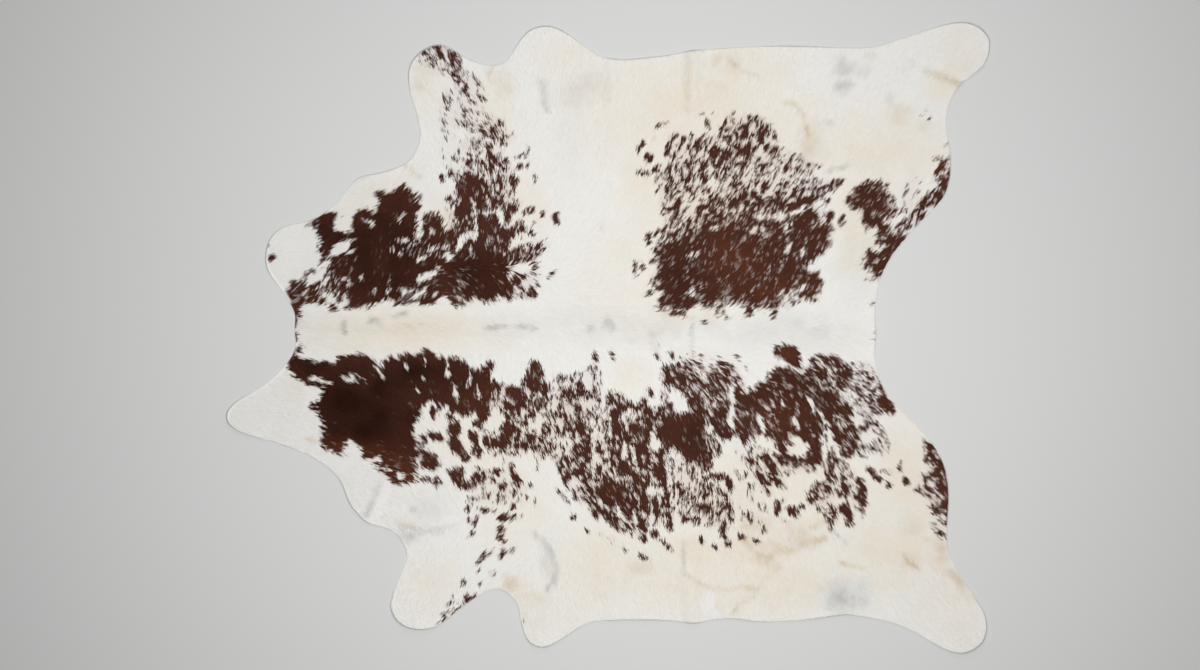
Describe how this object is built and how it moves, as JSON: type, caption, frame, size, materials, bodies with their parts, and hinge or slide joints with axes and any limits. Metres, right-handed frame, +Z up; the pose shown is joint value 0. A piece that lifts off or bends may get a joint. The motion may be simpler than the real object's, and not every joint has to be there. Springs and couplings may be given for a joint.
{
  "type": "cowhide rug",
  "caption": "Whole hair-on cowhide laid flat as a floor rug, with its natural outline of neck, leg and belly edges, a cream coat with speckled brown patches, and soft fold lines.",
  "frame": {"origin": "on the floor under the middle of the rug's bounding box", "axes": "+X along the back from the neck end to the hind legs, +Y across the hide, +Z up from the floor to the hair side"},
  "size_m": [2.3, 1.9, 0.015],
  "materials": {
    "hide": "tanned skin, pale and suede-like on its underside and along the cut edge",
    "hair": "short lying hair, cream and white with dark brown speckled patches, soft sheen"
  },
  "bodies": {
    "root": {"hide": "hide"}
  },
  "joints": []
}
